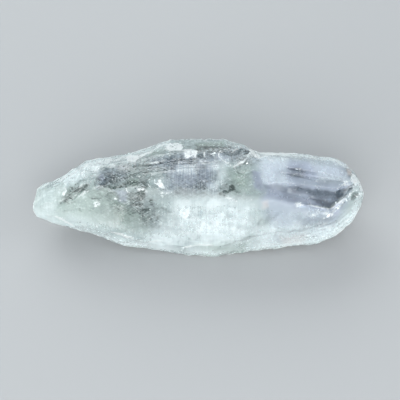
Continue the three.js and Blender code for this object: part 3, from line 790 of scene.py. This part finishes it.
def broad_side(local, facing):
    """1 on the broad side, fading to 0 on the faces that lie behind it or are turned away from it."""
    return smooth((local[:, 2] + 3) / 3) * smooth((facing + 0.25) / 0.35)


def veil(local, seed, low, high, much):
    """Soft veils inside the quartz, for the sides that are turned away from the broad side."""
    noise = 0.65 * value_noise(local, 8.0, seed) + 0.35 * value_noise(local, 2.4, seed + 1)
    return much * smooth((noise - low) / (high - low))


def paint_zones(body, facing, local, front):
    """Paint the worn edges, the rim and every zone to the body, with veils on its turned-away sides."""
    paint(body, "edge", edge_wear(body.data) / FULLY_WORN * (1 - zone(local, SOFT_CREST)))
    # the rim: painted white, partly frosted edge and partly painted highlight along the outline
    paint(body, "rim", outline_rim(body.data, facing))
    for name, marks in ZONES.items():
        veiled = veil(local, *BACK_VEILS[name]) if name in BACK_VEILS else 0
        paint(body, name, zone(local, marks) * front + veiled * (1 - front))


def roughen(body, points, local, front):
    """Give the faces their waves, growth lines and breakage, but not the sole."""
    free = np.clip((points[:, 2] / MM - SOLE_GAP) / SOLE_FADE, 0, 1)
    paint_group(body, "free", free)
    paint_group(body, "lively", free * (1 - zone(local, CALM) * front))
    paint_group(body, "broken", zone(local, BROKEN_GROUND) * front * free)
    paint_group(body, "striated", zone(local, STRIATED) * front * free)
    paint_group(body, "lower_root", zone(local, LOWER_ROOT) * front * free)
    displace(body, "waves", 0.20, "free", size=5.0)
    displace(body, "ripples", 0.08, "lively", size=1.3)
    displace(body, "striations", 0.06, "striated", stretch=(0.45, 5, 5))
    displace(body, "cross_striations", 0.07, "lively", stretch=(0.7, 8, 8))
    displace(body, "breakage", 0.14, "broken", size=0.9, cells=True)
    displace(body, "growth_lines", 0.12, "lower_root", stretch=(9, 0.5, 9), turn=38)
    body.vertex_groups.clear()


def make_body():
    body = even_copy(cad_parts["crystal"])
    soften(body, SOFT_CREST, rounds=120)
    soften(body, SOFT_CLUSTER, rounds=200)
    points = vertices_of(body.data)
    local = crystal_coordinates(points)
    facing = vertices_of(body.data, "normal") @ np.array((0, -math.sin(ROLL), math.cos(ROLL)))
    front = broad_side(local, facing)
    paint_zones(body, facing, local, front)
    roughen(body, points, local, front)
    body.data.materials.clear()
    body.data.materials.append(quartz_material())
    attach(body, "root")
    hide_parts("crystal")
    return body


# ---- Quartz ----

CLEAR_QUARTZ = (0.37, 0.45, 0.45, 1)
HAZY_QUARTZ = (0.50, 0.585, 0.585, 1)
MILKY_QUARTZ = (0.84, 0.925, 0.935, 1)
SMOKY_WINDOW = (0.055, 0.080, 0.074, 1)
BLUISH_WINDOW = (0.070, 0.088, 0.125, 1)
PALE_GREEN = (0.39, 0.50, 0.42, 1)
LAVENDER_TINT = (0.43, 0.475, 0.61, 1)
FROST_AND_HIGHLIGHT_WHITE = (0.96, 1.0, 1.0, 1)
PINKISH = (0.80, 0.68, 0.64, 1)
SLATE = (0.22, 0.26, 0.32, 1)

QUARTZ_IOR = 1.544
SEE_THROUGH = 0.5  # the share of the light that passes, while the haze scatters the rest
ABSORBING = {"Color": (0.80, 0.90, 0.86, 1), "Density": 20.0}
POLISHED, SATIN = 0.14, 0.30  # the roughness of clean faces
ROUGHER = {"worn": 0.35, "rim": 0.25, "dull": 0.28, "frost_and_highlights": 0.20, "milk": 0.08, "smoke": -0.10}
RELIEF_DEPTH = 0.10 * MM
RELIEF_STRENGTH = 0.35

# Lines where angular pieces meet, two sets each: stretch, turn in degrees and width
NEEDLES = (((0.35, 1.5, 1.0), 8, 0.05), ((1.4, 0.45, 1.0), -24, 0.05))
CRACKS = (((0.5, 1.9, 1.0), -14, 0.10), ((0.9, 2.2, 1.0), 34, 0.09))


def blend_of(tree, patterns, **shares):
    """The named patterns added up, each about its middle, with its share of the whole."""
    total = None
    for name, share in shares.items():
        part = times(tree, math_node(tree, "SUBTRACT", patterns[name], 0.5), share)
        total = part if total is None else plus(tree, total, part)
    return total


def uneven(tree, name, pattern, strength=1.0):
    """A painted zone that a pattern thins and thickens."""
    return times(tree, attribute(tree, name), plus(tree, strength, pattern), clamp=True)


def broken_up(tree, name, pattern, low, high, to_high=1.0):
    """A painted zone with a border broken up by a pattern."""
    return step(tree, plus(tree, attribute(tree, name), pattern), low, high, 0.0, to_high)


def lively(tree):
    """The faces that aren't calm."""
    return math_node(tree, "SUBTRACT", 1.0, attribute(tree, "calm"))


def shards(tree, stretch, turn):
    """Angular pieces side by side, each with a tone of its own from 0 to 1."""
    cells = node(tree, "TexVoronoi", {"Vector": in_millimetres(tree, stretch, turn), "Scale": 1.0})
    return node(tree, "SeparateColor", {"Color": cells.outputs["Color"]}).outputs[0]


def shard_edges(tree, stretch, turn, width):
    """Fine lines where angular pieces meet."""
    at = in_millimetres(tree, stretch, turn)
    cells = node(tree, "TexVoronoi", {"Vector": at, "Scale": 1.0}, feature="DISTANCE_TO_EDGE")
    return step(tree, cells.outputs["Distance"], 0.0, width, 1.0, 0.0)


def splinter(tree, turn):
    """Short thin strokes side by side, turned on the broad side."""
    at = in_millimetres(tree, (0.55, 3.4, 1.0), turn)
    strokes = node(tree, "TexNoise", {"Vector": at, "Scale": 1.0, "Detail": 2.0})
    return step(tree, strokes.outputs["Fac"], 0.36, 0.64)


def bright_specks(tree):
    """Scattered pinpoints, in fewer than half of the cells."""
    cells = node(tree, "TexVoronoi", {"Vector": in_millimetres(tree), "Scale": 1.1})
    chosen = node(tree, "SeparateColor", {"Color": cells.outputs["Color"]}).outputs[1]
    point = step(tree, cells.outputs["Distance"], 0.10, 0.22, 1.0, 0.0)
    return times(tree, point, step(tree, chosen, 0.55, 0.75))


def quartz_patterns(tree):
    """The patterns that the quartz's zones, colour, roughness and relief share."""
    return {
        "cloud": clouds(tree, (0.16, 0.16, 0.16), 5.0),
        "mottle": clouds(tree, (0.7, 0.7, 0.7)),
        "grain": clouds(tree, (2.2, 2.2, 2.2), 3.0),
        "streaks": clouds(tree, (0.40, 2.0, 1.2), 3.0),
        "cross": clouds(tree, (2.8, 0.25, 0.3), 3.0),
        "shard": shards(tree, (0.7, 1.3, 1.0), 12),
        "chip": shards(tree, (1.6, 2.4, 2.0), -20),
        "falling": splinter(tree, -28),
        "rising": splinter(tree, 32),
    }


def quartz_zones(tree, patterns):
    """The painted zones that the colour and the roughness share, with the patterns worked in."""
    splinters = blend_of(tree, patterns, shard=0.3, chip=0.4, streaks=0.3, falling=0.7, rising=0.7)
    swirls = blend_of(tree, patterns, cloud=0.6, mottle=0.4, cross=0.3, streaks=0.2)
    chipped = blend_of(tree, patterns, chip=0.6, grain=0.5, mottle=0.2)
    nicked = blend_of(tree, patterns, grain=0.5, mottle=0.5)
    crumbly = blend_of(tree, patterns, mottle=0.15, grain=0.05)
    rugged = plus(tree, lively(tree), attribute(tree, "fractured"))
    wearing = math_node(tree, "SUBTRACT", lively(tree), attribute(tree, "fractured"))
    return {
        "smoke": uneven(tree, "smoke", times(tree, rugged, splinters), 1.25),
        "milk": uneven(tree, "milk", times(tree, plus(tree, lively(tree), 0.3), swirls)),
        # white broken places, with the painted highlights and glints among them
        "frost_and_highlights": broken_up(tree, "frost_and_highlights", chipped, 0.30, 1.05),
        "worn": times(tree, broken_up(tree, "edge", nicked, 0.45, 1.2, 0.5), wearing, clamp=True),
        # the rim's white: partly frosted edge, partly painted highlight along the outline
        "rim": broken_up(tree, "rim", crumbly, 0.10, 0.75, 0.9),
        "dull": attribute(tree, "dull"),
    }


def tinted_quartz(tree, patterns):
    """Clear to hazy quartz with its green and lavender tints and a fine texture."""
    colour = mix_colours(tree, patterns["cloud"], CLEAR_QUARTZ, HAZY_QUARTZ)
    colour = mix_colours(tree, attribute(tree, "green"), colour, PALE_GREEN)
    colour = mix_colours(tree, attribute(tree, "lavender"), colour, LAVENDER_TINT)
    texture = blend_of(tree, patterns, grain=0.26, mottle=0.16, streaks=0.16, cross=0.12)
    haze = times(tree, lively(tree), texture)
    colour = mix_colours(tree, step(tree, haze, 0.0, 0.25, 0.0, 0.55), colour, MILKY_QUARTZ)
    return mix_colours(tree, step(tree, haze, 0.0, -0.25, 0.0, 0.45), colour, SLATE)


def with_fractures(tree, colour):
    """The colour, with bright needles and dark cracks on fractured ground."""
    for sets, share, tone in ((NEEDLES, 0.60, FROST_AND_HIGHLIGHT_WHITE), (CRACKS, 0.75, SMOKY_WINDOW)):
        lines = math_node(tree, "MAXIMUM", *[shard_edges(tree, *one) for one in sets])
        lines = times(tree, lines, attribute(tree, "fractured"))
        colour = mix_colours(tree, times(tree, lines, share), colour, tone)
    return colour


def with_growth_lines(tree, colour):
    """The colour, with fine pale and dark lines across the striated faces."""
    at = in_millimetres(tree, (4.2, 0.22, 0.3))
    fine = node(tree, "TexNoise", {"Vector": at, "Scale": 1.0, "Detail": 2.0})
    for low, high, share, tone in ((0.46, 0.62, 0.22, FROST_AND_HIGHLIGHT_WHITE), (0.50, 0.36, 0.30, SLATE)):
        score = step(tree, fine.outputs["Fac"], low, high, 0.0, share)
        score = times(tree, score, attribute(tree, "striated"))
        colour = mix_colours(tree, score, colour, tone)
    return colour


def quartz_colour(tree, patterns, zones):
    """Tinted quartz, with milk, smoky windows, fractures, growth lines, white broken places, and painted
    highlights and glints on it.
    """
    colour = mix_colours(tree, zones["milk"], tinted_quartz(tree, patterns), MILKY_QUARTZ)
    window = mix_colours(tree, attribute(tree, "lavender"), SMOKY_WINDOW, BLUISH_WINDOW)
    colour = mix_colours(tree, zones["smoke"], colour, window)
    colour = with_growth_lines(tree, with_fractures(tree, colour))
    colour = mix_colours(tree, attribute(tree, "pink"), colour, PINKISH)
    # White on top: specks, the rim with its painted highlight, worn edges, and the white broken places with
    # painted highlights and glints
    for white in (times(tree, bright_specks(tree), 0.5), zones["rim"], zones["worn"], zones["frost_and_highlights"]):
        colour = mix_colours(tree, white, colour, FROST_AND_HIGHLIGHT_WHITE)
    return colour


def quartz_roughness(tree, patterns, zones):
    """Clean faces between polished and satin, with what each zone adds."""
    rough = step(tree, patterns["mottle"], 0.0, 1.0, POLISHED, SATIN)
    for name, share in ROUGHER.items():
        rough = plus(tree, rough, times(tree, zones[name], share), clamp=True)
    return rough


def quartz_relief(tree, patterns):
    """The faint relief of growth lines and grain on the lively faces."""
    relief = blend_of(tree, patterns, cross=0.2, streaks=0.16, grain=0.24)
    height = times(tree, lively(tree), relief)
    relief = {"Height": height, "Strength": RELIEF_STRENGTH, "Distance": RELIEF_DEPTH}
    return node(tree, "Bump", relief).outputs[0]


def quartz_material():
    material, tree, shader = new_material("quartz")
    patterns = quartz_patterns(tree)
    zones = quartz_zones(tree, patterns)
    tree.links.new(quartz_colour(tree, patterns, zones), shader.inputs["Base Color"])
    tree.links.new(quartz_roughness(tree, patterns, zones), shader.inputs["Roughness"])
    tree.links.new(quartz_relief(tree, patterns), shader.inputs["Normal"])
    shader.inputs["IOR"].default_value = QUARTZ_IOR
    shader.inputs["Transmission Weight"].default_value = SEE_THROUGH
    absorption = node(tree, "VolumeAbsorption", ABSORBING)
    tree.links.new(absorption.outputs[0], tree.nodes["Material Output"].inputs["Volume"])
    return material


# ---- Inside the crystal ----

FAR_OUT = 40  # further out than any part of the crystal, in millimetres
LEAST_WALL = 0.5  # what is left of the crystal behind a grain or flake, in millimetres
GRAIN_SHADES = ((0.80, 0.93, 0.96, 1), (0.93, 1.0, 1.0, 1))
DARK_FLAKE = (0.07, 0.09, 0.095, 1)
BRIGHT_FLAKE = (0.85, 0.92, 0.93, 1)


def under_surface(surface, x, v, depth):
    """The point at a depth under the broad side, or None outside the crystal."""
    hit = surface.ray_cast(place(x, v, FAR_OUT), -OUTWARD)[0]
    far = surface.ray_cast(place(x, v, -FAR_OUT), OUTWARD)[0]
    if hit is None or far is None or (hit - far).length < (depth + LEAST_WALL) * MM:
        return None
    return hit - OUTWARD * depth * MM


def inner_piece(name, verts, faces, material):
    """A piece inside the quartz, which rides the crystal's body."""
    mesh = bpy.data.meshes.new(name)
    mesh.from_pydata([tuple(point) for point in verts], [], faces)
    mesh.materials.append(material)
    piece = new_object(name, mesh)
    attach(piece, "root")
    return piece


def milky_material():
    material, tree, shader = new_material("milky_inclusions")
    colour = mix_colours(tree, clouds(tree, (0.5, 0.5, 0.5)), *GRAIN_SHADES)
    tree.links.new(colour, shader.inputs["Base Color"])
    shader.inputs["Roughness"].default_value = 0.5
    return material


GRAIN_CORNERS = np.array([(1, 1, 1), (1, -1, -1), (-1, 1, -1), (-1, -1, 1)]) * 0.5
GRAIN_FACES = np.array([(0, 1, 2), (0, 3, 1), (0, 2, 3), (1, 3, 2)])
GRAIN_TRIES = 60000
GRAIN_REACH = (41, 14.5)  # how far from the middle grains are tried, along and across, in millimetres
GRAIN_HEIGHT = 5.0  # how far out of the axis the zones are looked up, in millimetres


def make_milk(surface):
    """Tiny closed four-sided grains, turned every way, under the cloudy zones."""
    rng = np.random.default_rng(11)
    across = [rng.uniform(-reach, reach, GRAIN_TRIES) for reach in GRAIN_REACH]
    tries = np.stack(across + [np.full(GRAIN_TRIES, GRAIN_HEIGHT)], 1)
    share = zone(tries, MILK)
    verts, faces = [], []
    for x, v, _ in tries[rng.random(len(tries)) < share * 0.9 + 0.04]:
        point = under_surface(surface, x, v, 0.35 + rng.exponential(1.6))
        if point is None:
            continue
        turn = np.linalg.qr(rng.normal(size=(3, 3)))[0]
        turn[:, 0] *= np.sign(np.linalg.det(turn))
        size = rng.uniform(0.18, 0.42) * MM * rng.uniform(0.5, 1.3, 3)
        faces.extend((GRAIN_FACES + len(verts)).tolist())
        verts.extend(np.array(point) + (GRAIN_CORNERS * size) @ turn)
    inner_piece("milky_cloud", verts, faces, milky_material())


def fracture_material():
    material, tree, shader = new_material("fracture_flakes")
    mottle = clouds(tree, (1.5, 1.5, 1.5))
    tone = plus(tree, attribute(tree, "tone"), times(tree, mottle, 0.3))
    colour = mix_colours(tree, step(tree, tone, 0.35, 0.95), DARK_FLAKE, BRIGHT_FLAKE)
    tree.links.new(colour, shader.inputs["Base Color"])
    tree.links.new(step(tree, mottle, 0.2, 0.8, 0.25, 0.5), shader.inputs["Roughness"])
    return material


# Healed fractures full of flakes: ends as x and v, half width, number, slant, and share of dark ones
FRACTURES = [
    ((-23.5, 5.5), (-18.0, 4.2), 2.0, 90, (0.1, 0.5, 1.0), 0.80),
    ((-17.0, 4.2), (-12.0, 4.0), 1.0, 40, (-0.2, 0.6, 1.0), 0.80),
    ((-16.5, 0.2), (-12.0, -1.5), 2.4, 130, (0.4, -0.3, 1.0), 0.85),
    ((-13.0, -3.5), (-10.0, -6.0), 1.8, 40, (0.6, 0.2, 1.0), 0.70),
    ((-33.0, 0.0), (-28.0, 3.0), 0.8, 40, (0.0, 0.5, 1.0), 0.50),
    ((0, 11.2), (14, 9.6), 1.6, 80, (0.2, 0.4, 1.0), 0.40),
    ((5, 2.0), (9, 2.6), 1.2, 50, (-0.3, 0.5, 1.0), 0.75),
    ((23.5, -1.0), (33, -3.0), 0.8, 60, (0.2, -0.5, 1.0), 0.10),
    ((33, -3.0), (39, 2.0), 0.7, 50, (0.2, -0.5, 1.0), 0.10),
    ((23.0, 7.8), (26, 5.6), 1.3, 30, (0.2, 0.3, 1.0), 0.50),
    ((-10.5, 4.6), (-7.0, 1.0), 1.2, 40, (0.4, 0.5, 1.0), 0.05),
]
FLAKE_THICKNESS = 0.04  # millimetres
LARGEST_FLAKE = 1.0


def flake(point, facing, size, rng):
    """The corners of a thin closed flake with three to five sides, and its faces."""
    across = facing.cross(Vector(rng.normal(size=3))).normalized()
    along = facing.cross(across) * rng.uniform(1.0, 2.6)
    sides = int(rng.integers(3, 6))
    start = rng.uniform(0, 2 * math.pi)
    angles = start + 2 * math.pi * (np.arange(sides) + rng.uniform(-0.2, 0.2, sides)) / sides
    verts = []
    for lift in (-0.5, 0.5):
        for angle in angles:
            offset = (along * math.cos(angle) + across * math.sin(angle)) * size * 0.5
            verts.append(point + (offset + facing * lift * FLAKE_THICKNESS) * MM)
    faces = [[sides - 1 - k for k in range(sides)], [sides + k for k in range(sides)]]
    faces += [[k, (k + 1) % sides, sides + (k + 1) % sides, sides + k] for k in range(sides)]
    return verts, faces


def make_fractures(surface):
    """Thin flakes, dark and bright, along the healed fractures."""
    rng = np.random.default_rng(23)
    verts, faces, tones = [], [], []
    for start, end, width, count, slant, dark in FRACTURES:
        for _ in range(count):
            share = rng.random()
            x = start[0] + (end[0] - start[0]) * share + rng.normal() * width * 0.5
            v = start[1] + (end[1] - start[1]) * share + rng.normal() * width * 0.5
            point = under_surface(surface, x, v, 0.25 + rng.exponential(0.7))
            if point is None:
                continue
            facing = Vector(slant) + Vector(rng.normal(size=3)) * 0.35
            facing = (place(*facing) - place(0, 0, 0)).normalized()
            size = min(0.18 + rng.exponential(0.28), LARGEST_FLAKE)
            made, sides = flake(point, facing, size, rng)
            faces += [[k + len(verts) for k in side] for side in sides]
            verts += made
            tones += [0.0 if rng.random() < dark else 1.0] * len(made)
    flakes = inner_piece("fracture_flakes", verts, faces, fracture_material())
    paint(flakes, "tone", np.array(tones))


def surface_of(mesh):
    """The surface of a mesh, for rays to meet."""
    sides = [tuple(side.vertices) for side in mesh.polygons]
    return BVHTree.FromPolygons(vertices_of(mesh).tolist(), sides)


deselect_all()
make_camera()
make_floor()
make_lights()
make_studio()
body = make_body()
surface = surface_of(body.data)
make_milk(surface)
make_fractures(surface)
bpy.context.scene.view_settings.view_transform = "Standard"
